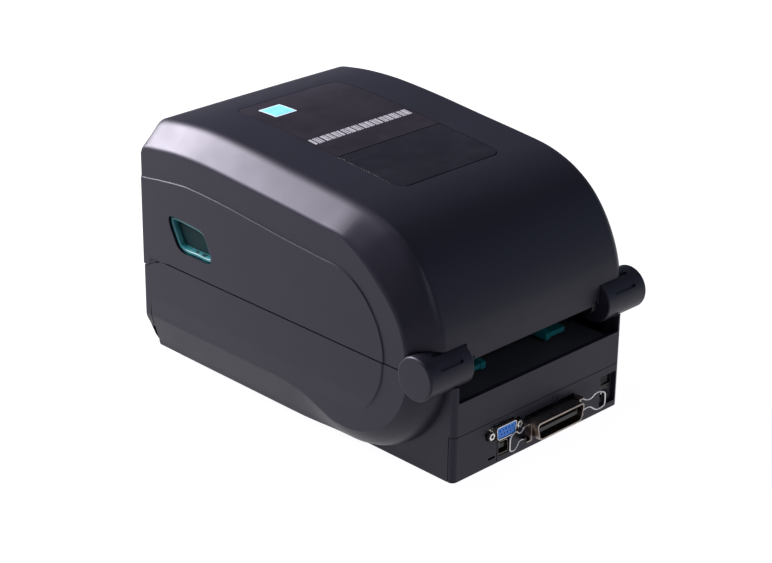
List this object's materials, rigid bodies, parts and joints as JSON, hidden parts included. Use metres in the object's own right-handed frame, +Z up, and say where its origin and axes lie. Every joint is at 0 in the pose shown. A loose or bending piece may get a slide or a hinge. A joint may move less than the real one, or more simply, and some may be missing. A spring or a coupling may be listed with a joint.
{
  "type": "thermal label printer",
  "caption": "Desktop thermal-transfer label printer: hinged hood with smoked window, spring latches, roll holders, platen drive, print head and rear connector box.",
  "frame": {"origin": "under the middle of the bounding box, on the plane the rubber feet rest on", "axes": "+X to the user's right, +Y towards the connector side at the rear (labels leave at -Y), +Z up"},
  "size_m": [0.198, 0.277, 0.1722],
  "materials": {
    "housing": "fine satin grain",
    "liner": "matte moulding",
    "gloss_panel": "high gloss",
    "smoked_window": "clear smoked gloss",
    "teal": "satin",
    "steel": "plated satin",
    "chrome": "bright plated",
    "aluminium": "extruded satin",
    "rubber": "matte",
    "gear_plastic": "natural acetal",
    "circuit_board": "solder mask",
    "socket_plastic": "matte",
    "blue_plastic": "satin",
    "ceramic": "glazed",
    "lens": "diffuse clear"
  },
  "bodies": {
    "root": {"base_housing": "housing", "front_bezel": "housing", "bottom_tray": "housing", "foot_front_left": "rubber", "foot_front_right": "rubber", "foot_rear_left": "rubber", "foot_rear_right": "rubber", "tear_bar": "steel", "rear_panel": "housing", "serial_shell": "chrome", "serial_insert": "blue_plastic", "parallel_shell": "chrome", "parallel_insert": "socket_plastic", "usb_port": "steel", "dc_inlet": "socket_plastic", "switch_housing": "socket_plastic", "main_board": "circuit_board", "media_well": "liner", "side_frame_left": "steel", "side_frame_right": "steel", "platen_bearing_left": "gear_plastic", "platen_bearing_right": "gear_plastic", "feed_motor": "steel", "gap_sensor": "socket_plastic", "hinge_knuckle_left": "housing", "hinge_knuckle_right": "housing", "hinge_pin_left": "steel", "hinge_pin_right": "steel"},
    "cover": {"cover_shell": "housing", "top_overlay": "gloss_panel", "window": "smoked_window", "button_board": "circuit_board", "status_lens": "lens", "ribbon_carriage": "liner", "hinge_arm_left": "steel", "hinge_arm_right": "steel", "head_spring_left": "steel", "head_spring_right": "steel"},
    "feed_button": {"feed_button": "socket_plastic"},
    "latch_left": {"release_latch_left": "teal"},
    "latch_right": {"release_latch_right": "teal"},
    "supply_left": {"supply_hub_left": "teal"},
    "supply_right": {"supply_hub_right": "teal"},
    "takeup_left": {"takeup_hub_left": "teal"},
    "takeup_right": {"takeup_hub_right": "teal"},
    "head": {"head_bracket": "steel", "head_heatsink": "aluminium", "print_head": "ceramic"},
    "platen": {"platen_roller": "rubber", "platen_shaft": "steel", "platen_gear": "gear_plastic"},
    "idler": {"idler_gear": "gear_plastic"},
    "pinion": {"motor_pinion": "gear_plastic"},
    "holder_left": {"roll_holder_left": "teal"},
    "holder_right": {"roll_holder_right": "teal"},
    "guide_left": {"media_guide_left": "teal"},
    "guide_right": {"media_guide_right": "teal"},
    "rocker": {"power_rocker": "socket_plastic"},
    "bail_left": {"bail_left": "chrome"},
    "bail_right": {"bail_right": "chrome"}
  },
  "joints": [
    {"name": "cover_hinge", "type": "hinge", "parent": "root", "child": "cover", "pos_m": [0, 0.115, 0.0752], "axis": [-1, 0, 0], "range_deg": [0, 85]},
    {"name": "feed_button_press", "type": "slide", "parent": "cover", "child": "feed_button", "axis": [0, 1, 0], "range_m": [0, 0.0015], "stiffness_N_per_m": 400, "springref_m": -0.0015},
    {"name": "latch_left_pull", "type": "hinge", "parent": "cover", "child": "latch_left", "pos_m": [-0.0936, -0.088, 0.128], "axis": [-1, 0, 0], "range_deg": [0, 5.5], "stiffness_Nm_per_rad": 0.8, "springref_deg": -8.59},
    {"name": "latch_right_pull", "type": "hinge", "parent": "cover", "child": "latch_right", "pos_m": [0.0936, -0.088, 0.128], "axis": [-1, 0, 0], "range_deg": [0, 5.5], "stiffness_Nm_per_rad": 0.8, "springref_deg": -8.59},
    {"name": "supply_left_spin", "type": "hinge", "parent": "cover", "child": "supply_left", "pos_m": [-0.06, -0.056, 0.118], "axis": [1, 0, 0], "continuous": true},
    {"name": "supply_right_spin", "type": "hinge", "parent": "cover", "child": "supply_right", "pos_m": [0.06, -0.056, 0.118], "axis": [1, 0, 0], "continuous": true},
    {"name": "takeup_left_spin", "type": "hinge", "parent": "cover", "child": "takeup_left", "pos_m": [-0.06, -0.103, 0.128], "axis": [1, 0, 0], "continuous": true},
    {"name": "takeup_right_spin", "type": "hinge", "parent": "cover", "child": "takeup_right", "pos_m": [0.06, -0.103, 0.128], "axis": [1, 0, 0], "continuous": true},
    {"name": "print_head_float", "type": "hinge", "parent": "cover", "child": "head", "pos_m": [0, -0.092, 0.084], "axis": [-1, 0, 0], "range_deg": [0, 3], "stiffness_Nm_per_rad": 3, "springref_deg": -11.46, "deforming": ["head_spring_left", "head_spring_right"]},
    {"name": "platen_spin", "type": "hinge", "parent": "root", "child": "platen", "pos_m": [0, -0.118, 0.06], "axis": [1, 0, 0], "continuous": true},
    {"name": "idler_spin", "type": "hinge", "parent": "root", "child": "idler", "pos_m": [-0.0755, -0.1014, 0.0393], "axis": [1, 0, 0], "continuous": true},
    {"name": "pinion_spin", "type": "hinge", "parent": "root", "child": "pinion", "pos_m": [-0.0755, -0.0827, 0.0341], "axis": [1, 0, 0], "continuous": true},
    {"name": "holder_right_slide", "type": "slide", "parent": "root", "child": "holder_right", "axis": [1, 0, 0], "range_m": [0, 0.027], "stiffness_N_per_m": 60, "springref_m": -0.04},
    {"name": "holder_left_slide", "type": "slide", "parent": "root", "child": "holder_left", "axis": [-1, 0, 0], "range_m": [0, 0.027], "stiffness_N_per_m": 60, "springref_m": -0.04},
    {"name": "guide_right_slide", "type": "slide", "parent": "root", "child": "guide_right", "axis": [1, 0, 0], "range_m": [0, 0.027]},
    {"name": "guide_left_slide", "type": "slide", "parent": "root", "child": "guide_left", "axis": [-1, 0, 0], "range_m": [0, 0.027]},
    {"name": "power_rocker_tilt", "type": "hinge", "parent": "root", "child": "rocker", "pos_m": [-0.0663, 0.121, 0.0218], "axis": [0, 0, -1], "range_deg": [0, 12]},
    {"name": "bail_left_swing", "type": "hinge", "parent": "root", "child": "bail_left", "pos_m": [-0.0347, 0.1316, 0.017], "axis": [0, 0, -1], "range_deg": [0, 75]},
    {"name": "bail_right_swing", "type": "hinge", "parent": "root", "child": "bail_right", "pos_m": [0.0161, 0.1316, 0.017], "axis": [0, 0, 1], "range_deg": [0, 75]}
  ],
  "couplings": [
    {"joint": "idler_spin", "follows": "platen_spin", "ratio": -0.83333},
    {"joint": "pinion_spin", "follows": "platen_spin", "ratio": 2.5},
    {"joint": "holder_left_slide", "follows": "holder_right_slide", "ratio": 1},
    {"joint": "guide_right_slide", "follows": "holder_right_slide", "ratio": 1},
    {"joint": "guide_left_slide", "follows": "holder_right_slide", "ratio": 1}
  ]
}
